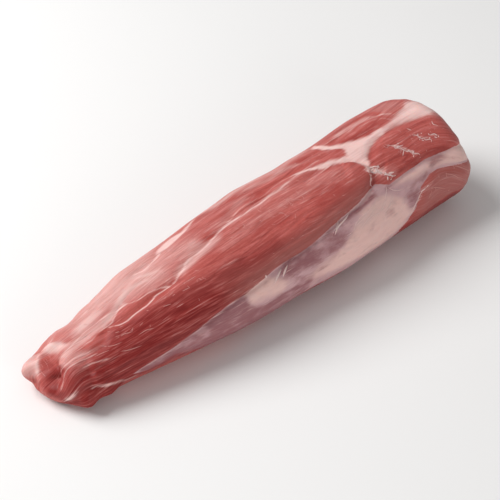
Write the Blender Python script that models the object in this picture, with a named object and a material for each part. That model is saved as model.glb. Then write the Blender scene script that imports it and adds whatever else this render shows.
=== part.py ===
"""Raw pork tenderloin: one whole, trimmed piece of meat lying on its flat underside.

The meat lies along X, with the thin tail end towards -X and the thick head end
towards +X. +Z is up and the underside rests on z = 0. The plain form is a sphere
drawn out into a long, flattened body. Swellings and hollows are then added to it,
and the seams between the muscles are pressed in.

A place on the skin is given by two numbers. Reach is the distance from the tip of
the tail over the skin, in millimetres. Around is the angle about the length of
the meat, in degrees: 0 is the near side (-Y), 90 the top, 180 the far side.
"""

from collections import namedtuple

import bmesh
import bpy
import numpy as np

MM = 0.001

# Driving sizes in millimetres
LENGTH = 265.0
SAG = 3.3
FLOOR_BLEND = 1.6
HEIGHT_TO_WIDTH_AT_TAIL = 0.72
HEIGHT_TO_WIDTH_AT_HEAD = 0.78
TAIL_ROUNDING = 15.0
TAIL_SQUARENESS = 2.2
HEAD_ROUNDING = 19.0
HEAD_SQUARENESS = 2.4

# Place along the meat, half width there, and how far its middle lies off the X axis
STATIONS = (
    (0.0, 18.0, 3.5),
    (25.0, 21.5, 0.5),
    (58.0, 26.8, -0.2),
    (95.0, 31.2, -2.0),
    (132.0, 33.4, -1.5),
    (170.0, 35.0, -2.0),
    (208.0, 34.7, 0.5),
    (241.0, 34.5, 2.0),
    (265.0, 35.2, -0.5),
)

# How finely the skin is divided
FACES_AROUND = 72
FACES_ALONG = 80

# The relief fades out just above the floor, so that the underside stays flat
RELIEF_STARTS = 1.5
RELIEF_IS_FULL = 8.0

# A seam runs along its route. Its groove has a half width and a depth, and the skin
# on its upper side stands proud by a step that fades over a run. It dies out over
# a taper at both ends.
Seam = namedtuple("Seam", "route width depth step run taper")

SEAMS = {
    "main muscle over silverskin": Seam(
        ((25, 12), (31, 5), (43, -7), (53, -1), (66, 4), (83, 14), (100, 24), (119, 28), (135, 32),
         (156, 34), (172, 40), (189, 44), (198, 48), (206, 56), (208, 66), (204, 78), (198, 85)),
        width=1.8, depth=1.0, step=1.6, run=14.0, taper=3.0),
    "main muscle against chain": Seam(
        ((201, 82), (183, 90), (172, 90), (151, 96), (137, 96), (122, 94), (105, 88), (92, 82),
         (84, 75), (72, 73), (56, 70), (47, 76), (37, 61), (27, 66), (21, 63), (15, 46), (12, 28)),
        width=2.6, depth=1.1, step=0.0, run=10.0, taper=4.0),
    "upper muscle line": Seam(
        ((70, 82), (59, 88), (47, 79), (38, 80)),
        width=2.2, depth=0.6, step=0.0, run=10.0, taper=8.0),
    "chain lower line": Seam(
        ((122, 94), (138, 105), (155, 104), (173, 106), (195, 103), (206, 106), (214, 97), (232, 96),
         (249, 95), (268, 97)),
        width=2.6, depth=1.0, step=0.0, run=10.0, taper=12.0),
    "chain upper line": Seam(
        ((34, 112), (52, 113), (76, 114), (97, 119), (112, 127), (128, 128), (150, 118), (180, 114),
         (205, 113), (224, 119), (238, 114), (250, 103)),
        width=2.4, depth=0.9, step=0.0, run=10.0, taper=12.0),
    "chain far line": Seam(
        ((30, 158), (70, 152), (120, 158), (170, 148), (215, 152), (262, 146)),
        width=3.4, depth=1.3, step=0.0, run=10.0, taper=20.0),
    "far side line": Seam(
        ((48, 196), (100, 188), (160, 196), (215, 184), (268, 192)),
        width=3.0, depth=1.0, step=0.0, run=10.0, taper=20.0),
    "head lobe upper edge": Seam(
        ((209, 66), (213, 73), (221, 82), (232, 86), (252, 82), (266, 81)),
        width=2.6, depth=1.2, step=0.0, run=10.0, taper=10.0),
    "head lobe lower edge": Seam(
        ((208, 64), (204, 51), (212, 42), (226, 43), (240, 43), (254, 40), (266, 38), (282, 34)),
        width=2.0, depth=0.9, step=1.0, run=10.0, taper=24.0),
    "lower head lobe edge": Seam(
        ((208, -34), (216, -14), (225, -2), (228, 14), (238, 27), (252, 23), (267, 16), (282, 14)),
        width=2.2, depth=1.0, step=-1.1, run=10.0, taper=24.0),
    "tail lobe edge": Seam(
        ((14, -30), (18, -12), (19, 4), (24, 14), (31, 6)),
        width=2.2, depth=1.4, step=0.0, run=10.0, taper=4.0),
    "tail flap ridge": Seam(
        ((26, 100), (21, 112), (15, 120), (9, 138), (5, 180), (5, 300)),
        width=2.4, depth=-1.8, step=0.0, run=10.0, taper=6.0),
}

# A swelling, or a hollow where the height is negative
Swelling = namedtuple("Swelling", "reach around radius height")

SWELLINGS = {
    "tail pit": Swelling(11, 46, 4.5, -4.6),
    "tail hollow": Swelling(15, 78, 7.5, -4.2),
    "notch behind tail flap": Swelling(20, 138, 7.0, -4.4),
    "tail flap": Swelling(9, 176, 6.0, 3.6),
    "muscle fold beside tail pit": Swelling(18, 34, 6.0, 1.6),
    "tail lobe": Swelling(25, -18, 8.0, 4.8),
    "hollow behind tail lobe": Swelling(46, -26, 8.0, -1.2),
    "bulge over silverskin": Swelling(130, 0, 60.0, 0.6),
    "silverskin hollow": Swelling(214, 20, 15.0, -1.4),
    "waist of chain": Swelling(203, 140, 24.0, -1.3),
    "head end of chain": Swelling(238, 118, 16.0, 0.9),
    "lower side of head": Swelling(232, -24, 24.0, 0.8),
    "near corner of head": Swelling(272, 46, 13.0, -1.7),
}

MEAT_COLOUR = (0.42, 0.085, 0.068, 1.0)
MEAT_ROUGHNESS = 0.5


def smooth_step(value, low, high):
    """Rise from 0 at low to 1 at high with a soft start and end."""
    share = np.clip((value - low) / (high - low), 0.0, 1.0)
    return share * share * (3.0 - 2.0 * share)


def smooth_curve(keys, values, at):
    """A smooth curve through the values at the keys, read at other places."""
    keys = np.asarray(keys, float)
    values = np.asarray(values, float)
    gaps = np.diff(keys)
    slopes = np.diff(values) / gaps
    tangents = np.concatenate([
        slopes[:1],
        (slopes[:-1] * gaps[1:] + slopes[1:] * gaps[:-1]) / (gaps[:-1] + gaps[1:]),
        slopes[-1:],
    ])
    at = np.clip(at, keys[0], keys[-1])
    index = np.clip(np.searchsorted(keys, at) - 1, 0, len(gaps) - 1)
    gap = gaps[index]
    t = (at - keys[index]) / gap
    from_start = (2 * t**3 - 3 * t**2 + 1) * values[index] + (t**3 - 2 * t**2 + t) * gap * tangents[index]
    from_end = (3 * t**2 - 2 * t**3) * values[index + 1] + (t**3 - t**2) * gap * tangents[index + 1]
    return from_start + from_end


def end_rounding(along):
    """Share of the full section that is left near the two rounded ends."""
    tail = 1.0 - np.clip(along / TAIL_ROUNDING, 0.0, 1.0)
    head = 1.0 - np.clip((LENGTH - along) / HEAD_ROUNDING, 0.0, 1.0)
    tail_share = (1.0 - tail**TAIL_SQUARENESS) ** (1.0 / TAIL_SQUARENESS)
    head_share = (1.0 - head**HEAD_SQUARENESS) ** (1.0 / HEAD_SQUARENESS)
    return tail_share * head_share


def section(along):
    """Half width, half height and sideways middle of the full section at a place along."""
    keys, half_widths, middles = zip(*STATIONS)
    half_width = smooth_curve(keys, half_widths, along)
    middle = smooth_curve(keys, middles, along)
    ratio = np.interp(along, (0.0, LENGTH), (HEIGHT_TO_WIDTH_AT_TAIL, HEIGHT_TO_WIDTH_AT_HEAD))
    return half_width, half_width * ratio, middle


def meridian():
    """Matching lists of reach and place along, from the tip of the tail to the head's pole."""
    turn = 1.0 - np.cos(np.linspace(0.0, np.pi / 2, 400))
    straight = np.linspace(TAIL_ROUNDING, LENGTH - HEAD_ROUNDING, 1200)[1:-1]
    along = np.concatenate([TAIL_ROUNDING * turn, straight, LENGTH - HEAD_ROUNDING * turn[::-1]])
    half_width, half_height, _ = section(along)
    radius = end_rounding(along) * 0.5 * (half_width + half_height)
    steps = np.hypot(np.diff(along), np.diff(radius))
    return np.concatenate([[0.0], np.cumsum(steps)]), along


REACHES, ALONGS = meridian()


def rest_on_floor(height):
    """Flatten what would lie below the floor, with a soft turn into the flat."""
    blend = (height + FLOOR_BLEND) ** 2 / (4.0 * FLOOR_BLEND)
    return np.where(height > FLOOR_BLEND, height, np.where(height > -FLOOR_BLEND, blend, 0.0))


def plain_form(reach, around):
    """Points of the plain form, in millimetres, for places on the skin."""
    along = np.interp(reach, REACHES, ALONGS)
    angle = np.radians(around)
    half_width, half_height, middle = section(along)
    rounding = end_rounding(along)
    across = middle - half_width * rounding * np.cos(angle)
    height = half_height - SAG + half_height * rounding * np.sin(angle)
    return np.stack([along, across, rest_on_floor(height)], axis=-1)


def route_points(route):
    """Close points on the plain form along a smooth curve through a route's places."""
    reach, around = np.array(route, float).T
    keys = np.arange(len(reach))
    fine = np.linspace(0.0, keys[-1], 5 * keys[-1] + 1)
    return plain_form(smooth_curve(keys, reach, fine), smooth_curve(keys, around, fine))


def nearest_on_line(points, normals, line):
    """Distance of each point from a line, its side of it, and how far from an end it is."""
    nearest = np.full(len(points), np.inf)
    side = np.ones(len(points))
    place = np.zeros(len(points))
    lengths = np.linalg.norm(np.diff(line, axis=0), axis=1)
    starts = np.cumsum(lengths) - lengths
    for start, end, length, before in zip(line[:-1], line[1:], lengths, starts):
        run = (end - start) / length
        share = np.clip((points - start) @ run, 0.0, length)
        offset = points - start - share[:, None] * run
        distance = np.linalg.norm(offset, axis=1)
        upper = np.einsum("ij,ij->i", np.cross(normals, run), offset)
        closer = distance < nearest
        nearest[closer] = distance[closer]
        side[closer] = np.sign(upper[closer])
        place[closer] = before + share[closer]
    return nearest, side, np.minimum(place, lengths.sum() - place)


def seam_relief(points, normals):
    """Height that all the seams together add to the skin at each point."""
    groove_powers = np.zeros(len(points))
    relief = np.zeros(len(points))
    for seam in SEAMS.values():
        distance, side, from_end = nearest_on_line(points, normals, route_points(seam.route))
        strength = smooth_step(from_end, 0.0, seam.taper)
        groove = strength * np.exp(-((distance / seam.width) ** 2))
        if seam.depth > 0.0:
            groove_powers += (seam.depth * groove) ** 3
        else:
            relief -= seam.depth * groove
        rise = smooth_step(side * distance, -0.5 * seam.width, 1.5 * seam.width)
        proud = rise if seam.step > 0.0 else 1.0 - rise
        relief += abs(seam.step) * strength * proud * np.exp(-((distance / seam.run) ** 2))
    return relief - np.cbrt(groove_powers)


def swelling_relief(points):
    """Height that all the swellings and hollows together add at each point."""
    relief = np.zeros(len(points))
    for swelling in SWELLINGS.values():
        centre = plain_form(swelling.reach, swelling.around)
        distance = np.linalg.norm(points - centre, axis=1)
        relief += swelling.height * np.exp(-((distance / swelling.radius) ** 2))
    return relief


def places_on_sphere(mesh):
    """Reach and around of each point of a unit sphere whose poles are on Z."""
    points = np.array([vertex.co for vertex in mesh.verts])
    share = np.arccos(np.clip(points[:, 2], -1.0, 1.0)) / np.pi
    around = np.degrees(np.arctan2(points[:, 1], points[:, 0]))
    return (1.0 - share) * REACHES[-1], around


def move_vertices(mesh, points):
    """Put the mesh's vertices at points given in millimetres."""
    for vertex, point in zip(mesh.verts, points * MM):
        vertex.co = point
    mesh.normal_update()


def shape_tenderloin(mesh):
    """Turn a unit sphere into the meat, lying along X on the floor."""
    reach, around = places_on_sphere(mesh)
    points = plain_form(reach, around)
    move_vertices(mesh, points)
    bmesh.ops.recalc_face_normals(mesh, faces=mesh.faces)
    normals = np.array([vertex.normal for vertex in mesh.verts])
    relief = seam_relief(points, normals) + swelling_relief(points)
    relief *= smooth_step(points[:, 2], RELIEF_STARTS, RELIEF_IS_FULL)
    points = points + relief[:, None] * normals
    points[:, 2] = np.maximum(points[:, 2], 0.0)
    points[:, :2] -= 0.5 * (points[:, :2].min(axis=0) + points[:, :2].max(axis=0))
    move_vertices(mesh, points)


def meat_material():
    material = bpy.data.materials.new("raw_pork")
    material.use_nodes = True
    shader = material.node_tree.nodes["Principled BSDF"]
    shader.inputs["Base Color"].default_value = MEAT_COLOUR
    shader.inputs["Roughness"].default_value = MEAT_ROUGHNESS
    shader.inputs["Metallic"].default_value = 0.0
    return material


def add_tenderloin(collection):
    """The one solid of the object, made from a sphere."""
    mesh = bmesh.new()
    bmesh.ops.create_uvsphere(mesh, u_segments=FACES_AROUND, v_segments=FACES_ALONG, radius=1.0)
    shape_tenderloin(mesh)
    data = bpy.data.meshes.new("tenderloin")
    mesh.to_mesh(data)
    mesh.free()
    data.shade_smooth()
    data.materials.append(meat_material())
    tenderloin = bpy.data.objects.new("tenderloin", data)
    collection.objects.link(tenderloin)
    return tenderloin


def main():
    for thing in list(bpy.data.objects):
        bpy.data.objects.remove(thing, do_unlink=True)
    collection = bpy.data.collections.new("raw_pork_tenderloin")
    bpy.context.scene.collection.children.link(collection)
    add_tenderloin(collection)


main()
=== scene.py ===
"""Raw pork tenderloin: a finely divided, painted mesh of the solid's form, and a plain studio.

A place on the skin is given by two numbers, as in the solid's own source. Reach is
the distance from the tip of the tail over the skin, in millimetres. Around is the
angle about the length of the meat, in degrees: 0 is the near side (-Y), 90 the top,
180 the far side and -90 the underside. Seams, swellings, patches, streaks, threads and
tufts are all placed that way.
"""

import math
import random
from collections import namedtuple

import bmesh
import bpy
import numpy as np
from bpy.props import FloatProperty, FloatVectorProperty, IntProperty, PointerProperty
from bpy.types import Operator, Panel, PropertyGroup
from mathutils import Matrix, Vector, noise
from mathutils.bvhtree import BVHTree


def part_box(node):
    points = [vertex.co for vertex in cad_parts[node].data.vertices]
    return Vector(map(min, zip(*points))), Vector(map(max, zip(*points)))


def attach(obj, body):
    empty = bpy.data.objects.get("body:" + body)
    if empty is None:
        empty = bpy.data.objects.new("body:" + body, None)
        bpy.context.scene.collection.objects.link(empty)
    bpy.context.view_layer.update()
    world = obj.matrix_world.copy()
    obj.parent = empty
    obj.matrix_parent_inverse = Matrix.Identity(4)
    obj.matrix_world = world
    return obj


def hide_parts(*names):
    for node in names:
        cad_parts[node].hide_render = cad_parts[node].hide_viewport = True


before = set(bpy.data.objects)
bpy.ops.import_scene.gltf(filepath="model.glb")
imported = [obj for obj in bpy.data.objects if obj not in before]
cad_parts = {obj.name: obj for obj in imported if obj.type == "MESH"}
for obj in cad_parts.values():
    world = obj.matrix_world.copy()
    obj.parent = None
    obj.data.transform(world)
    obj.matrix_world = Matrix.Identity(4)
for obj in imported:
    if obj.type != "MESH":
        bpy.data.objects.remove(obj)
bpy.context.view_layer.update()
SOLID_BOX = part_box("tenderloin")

bl_info = {
    "name": "Raw pork tenderloin",
    "version": (1, 0, 0),
    "blender": (4, 5, 0),
    "location": "3D View > Sidebar > Tenderloin",
    "description": "Builds a whole raw pork tenderloin and a plain studio around it",
    "category": "Add Mesh",
}

MM = 0.001

# The plain form in millimetres, as in the solid. It sags into the floor by this much, and its
# underside turns into the flat over the blend.
LENGTH = 265.0
SAG = 3.3
FLOOR_BLEND = 1.6
HEIGHT_TO_WIDTH_AT_TAIL = 0.72
HEIGHT_TO_WIDTH_AT_HEAD = 0.78
TAIL_ROUNDING = 15.0
TAIL_SQUARENESS = 2.2
HEAD_ROUNDING = 19.0
HEAD_SQUARENESS = 2.4

# Place along the meat, half width there, and how far its middle lies off the X axis
STATIONS = (
    (0.0, 18.0, 3.5),
    (25.0, 21.5, 0.5),
    (58.0, 26.8, -0.2),
    (95.0, 31.2, -2.0),
    (132.0, 33.4, -1.5),
    (170.0, 35.0, -2.0),
    (208.0, 34.7, 0.5),
    (241.0, 34.5, 2.0),
    (265.0, 35.2, -0.5),
)

# The middle of the shaped meat in plan, in millimetres, which lies over the middle of the solid's box
PLAN_MIDDLE = np.array((131.28, -0.38))

# How finely the line from tail to head is measured, and a route between two of its places
STEPS_AT_AN_END = 400
STEPS_BETWEEN_ENDS = 1200
STEPS_BETWEEN_PLACES = 5

# Heights over the floor at which the relief of the skin sets in and is full
RELIEF_STARTS = 1.5
RELIEF_IS_FULL = 8.0

# A seam's groove has a half width and a depth, or stands up as a ridge where the depth is negative.
# The skin on its upper side stands proud by a step, or on its lower side by a negative one, that
# fades over a run. It dies out over a taper at both ends.
Seam = namedtuple("Seam", "route width depth taper step run", defaults=(0.0, 10.0))

# A step rises across this span of its seam, in half widths, from the lower side to the upper
STEP_RISES = (-0.5, 1.5)

SEAMS = {
    "main muscle over silverskin": Seam(
        ((25, 12), (31, 5), (43, -7), (53, -1), (66, 4), (83, 14), (100, 24), (119, 28), (135, 32),
         (156, 34), (172, 40), (189, 44), (198, 48), (206, 56), (208, 66), (204, 78), (198, 85)),
        width=1.8, depth=1.0, taper=3.0, step=1.6, run=14.0),
    "main muscle against chain": Seam(
        ((201, 82), (183, 90), (172, 90), (151, 96), (137, 96), (122, 94), (105, 88), (92, 82),
         (84, 75), (72, 73), (56, 70), (47, 76), (37, 61), (27, 66), (21, 63), (15, 46), (12, 28)),
        width=2.6, depth=1.1, taper=4.0),
    "upper muscle line": Seam(
        ((70, 82), (59, 88), (47, 79), (38, 80)),
        width=2.2, depth=0.6, taper=8.0),
    "chain lower line": Seam(
        ((122, 94), (138, 105), (155, 104), (173, 106), (195, 103), (206, 106), (214, 97), (232, 96),
         (249, 95), (268, 97)),
        width=2.6, depth=1.0, taper=12.0),
    "chain upper line": Seam(
        ((34, 112), (52, 113), (76, 114), (97, 119), (112, 127), (128, 128), (150, 118), (180, 114),
         (205, 113), (224, 119), (238, 114), (250, 103)),
        width=2.4, depth=0.9, taper=12.0),
    "chain far line": Seam(
        ((30, 158), (70, 152), (120, 158), (170, 148), (215, 152), (262, 146)),
        width=3.4, depth=1.3, taper=20.0),
    "far side line": Seam(
        ((48, 196), (100, 188), (160, 196), (215, 184), (268, 192)),
        width=3.0, depth=1.0, taper=20.0),
    "head lobe upper edge": Seam(
        ((209, 66), (213, 73), (221, 82), (232, 86), (252, 82), (266, 81)),
        width=2.6, depth=1.2, taper=10.0),
    "head lobe lower edge": Seam(
        ((208, 64), (204, 51), (212, 42), (226, 43), (240, 43), (254, 40), (266, 38), (282, 34)),
        width=2.0, depth=0.9, taper=24.0, step=1.0),
    "lower head lobe edge": Seam(
        ((208, -34), (216, -14), (225, -2), (228, 14), (238, 27), (252, 23), (267, 16), (282, 14)),
        width=2.2, depth=1.0, taper=24.0, step=-1.1),
    "tail lobe edge": Seam(
        ((14, -30), (18, -12), (19, 4), (24, 14), (31, 6)),
        width=2.2, depth=1.4, taper=4.0),
    "tail flap ridge": Seam(
        ((26, 100), (21, 112), (15, 120), (9, 138), (5, 180), (5, 300)),
        width=2.4, depth=-1.8, taper=6.0),
}

# A swelling, or a hollow where the height is negative
Swelling = namedtuple("Swelling", "reach around radius height")

SWELLINGS = {
    "tail pit": Swelling(11, 46, 4.5, -4.6),
    "tail hollow": Swelling(15, 78, 7.5, -4.2),
    "notch behind tail flap": Swelling(20, 138, 7.0, -4.4),
    "tail flap": Swelling(9, 176, 6.0, 3.6),
    "muscle fold beside tail pit": Swelling(18, 34, 6.0, 1.6),
    "tail lobe": Swelling(25, -18, 8.0, 4.8),
    "hollow behind tail lobe": Swelling(46, -26, 8.0, -1.2),
    "bulge over silverskin": Swelling(130, 0, 60.0, 0.6),
    "silverskin hollow": Swelling(214, 20, 15.0, -1.4),
    "waist of chain": Swelling(203, 140, 24.0, -1.3),
    "head end of chain": Swelling(238, 118, 16.0, 0.9),
    "lower side of head": Swelling(232, -24, 24.0, 0.8),
    "near corner of head": Swelling(272, 46, 13.0, -1.7),
}

# Fine grooves and folds that only this mesh has
FINE_SEAMS = {
    "rim of tail hollow": Seam(
        ((25, 96), (22, 105), (19, 113), (16, 117), (12, 117), (8, 114), (4, 100), (2, 40)),
        width=1.7, depth=-0.5, taper=4.0),
    "fold into tail pit": Seam(
        ((21, 84), (17, 77), (16, 66), (14, 55), (10, 32), (10, 14), (10, -3)),
        width=1.0, depth=0.9, taper=4.0, step=1.2, run=4.5),
    "tail groove one": Seam(
        ((38, 52), (33, 53), (27, 53), (21, 48), (16, 34), (13, 14)),
        width=0.7, depth=0.4, taper=6.0),
    "tail groove two": Seam(
        ((44, 36), (36, 35), (29, 34), (23, 31), (18, 22), (14, 8)),
        width=0.8, depth=0.5, taper=6.0),
    "tail groove three": Seam(
        ((44, 60), (36, 59), (29, 62), (23, 61), (18, 52), (15, 36)),
        width=0.7, depth=0.4, taper=6.0),
    "tail groove four": Seam(
        ((40, 16), (32, 20), (26, 22), (21, 20), (17, 10)),
        width=0.8, depth=0.5, taper=6.0),
    "groove under pale film": Seam(
        ((30, 84), (37, 85), (44, 84), (52, 86), (60, 92), (72, 97), (90, 100)),
        width=1.0, depth=0.35, taper=8.0),
    "fold in silverskin one": Seam(
        ((202, 42), (197, 37), (191, 33), (185, 31), (180, 27), (174, 22)),
        width=1.1, depth=-0.35, taper=6.0),
    "fold in silverskin two": Seam(
        ((212, 40), (209, 32), (204, 22), (198, 12), (189, 3), (180, -3)),
        width=1.3, depth=-0.4, taper=8.0),
    "fold in silverskin three": Seam(
        ((222, 38), (219, 28), (215, 16), (209, 2), (202, -8)),
        width=1.2, depth=-0.35, taper=8.0),
    "fold in silverskin four": Seam(
        ((182, 42), (177, 39), (172, 35), (166, 29), (160, 26)),
        width=0.9, depth=-0.35, taper=5.0),
    "fold in silverskin five": Seam(
        ((144, 29), (136, 20), (126, 12), (114, 6), (100, 0)),
        width=1.4, depth=-0.3, taper=10.0),
    "fibre groove one": Seam(
        ((187, 57), (173, 58), (159, 59), (141, 55), (115, 56), (95, 65)),
        width=0.8, depth=0.3, taper=14.0),
    "fibre groove two": Seam(
        ((166, 66), (150, 65), (134, 63), (120, 66)),
        width=0.8, depth=0.25, taper=12.0),
    "fibre groove three": Seam(
        ((122, 58), (112, 61), (101, 57), (90, 51)),
        width=0.8, depth=0.3, taper=10.0),
    "fibre groove four": Seam(
        ((186, 52), (172, 50), (160, 46), (141, 44), (124, 46)),
        width=0.8, depth=0.25, taper=14.0),
    "groove in pale film": Seam(
        ((40, 104), (52, 103), (66, 106), (84, 110), (100, 113)),
        width=1.2, depth=0.4, taper=10.0),
}

# Small hollows and swellings that only this mesh has
HOLLOWS = {
    "far outline one": Swelling(20, 160, 5.0, -1.2),
    "far outline two": Swelling(39, 145, 6.0, -1.5),
    "far outline three": Swelling(56, 144, 5.0, -0.5),
    "far outline four": Swelling(72, 134, 9.0, 0.9),
    "corner of tail flap": Swelling(8, 152, 2.2, 0.7),
    "under corner of tail flap": Swelling(5, 212, 3.6, -2.2),
    "far outline five": Swelling(150, 136, 9.0, 0.7),
    "far outline six": Swelling(176, 138, 8.0, -0.6),
    "hollow in tail": Swelling(9, 96, 4.5, -1.4),
    "deep of tail pit": Swelling(8, 46, 2.6, -1.6),
    "notch over tail flap": Swelling(14, 136, 4.5, -1.6),
    "nose of main muscle": Swelling(22, 52, 6.0, 0.9),
    "hollow under pale film": Swelling(34, 84, 5.0, -0.7),
    "end of lower lobe": Swelling(35, -18, 4.0, 1.0),
    "crown of tail lobe": Swelling(23, -6, 4.5, 0.8),
    "foot of tail lobe": Swelling(17, -27, 3.0, 0.9),
    "notch beside tail lobe": Swelling(28, -18, 4.6, -2.3),
}

# Length and widths of the muscle bundles and of the lumps that the fine mesh adds, in millimetres,
# and how far apart the two are read from one noise, so that they don't follow each other
BUNDLE_SIZE = (40.0, 3.2, 3.2)
LUMP_SIZE = (26.0, 11.0, 11.0)
LUMPS_APART = 71.0

# The faces are smaller at both ends by the first share, and by the second about the side that faces
# up and near, whose middle is the angle
FINER_AT_ENDS = 0.35
FINER_ABOUT = 0.4
FINEST_AROUND = math.radians(50.0)

# The fibres bend over each end towards a hidden place under it, given as its distance from the end's
# pole and its around. They bend fully within the first distance from the pole and not beyond the second.
TAIL_FIBRES_MEET = (22.0, -100.0)
TAIL_FIBRES_TURN = (4.0, 24.0)
HEAD_FIBRES_MEET = (34.0, -95.0)
HEAD_FIBRES_TURN = (8.0, 60.0)

# Radius of the meat, in millimetres, where a length across the skin is turned into an angle
MEAN_RADIUS = 30.0

# A patch is a closed outline on the skin with a soft edge. A streak is a soft line, whose paint
# thins to a share of its strength at both ends.
Patch = namedtuple("Patch", "outline softness strength")
Streak = namedtuple("Streak", "route width strength")
STREAK_AT_ITS_ENDS = 0.35

# A groove, step, streak or soft edge has faded away at this many times its width
FADED_AT = 3.0

MAIN_MUSCLE_LOWER_EDGE = (
    (30, 5), (38, -3), (45, -8), (53, -1), (66, 4), (73, 10), (83, 14), (90, 20), (100, 24), (111, 25),
    (119, 28), (128, 31), (135, 32), (147, 32), (156, 34), (172, 40), (189, 44), (198, 48), (204, 50))
LOWER_HEAD_LOBE = (
    (222, -12), (224, 4), (231, 20), (244, 32), (260, 27), (278, 20), (284, 6), (284, -14))

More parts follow.
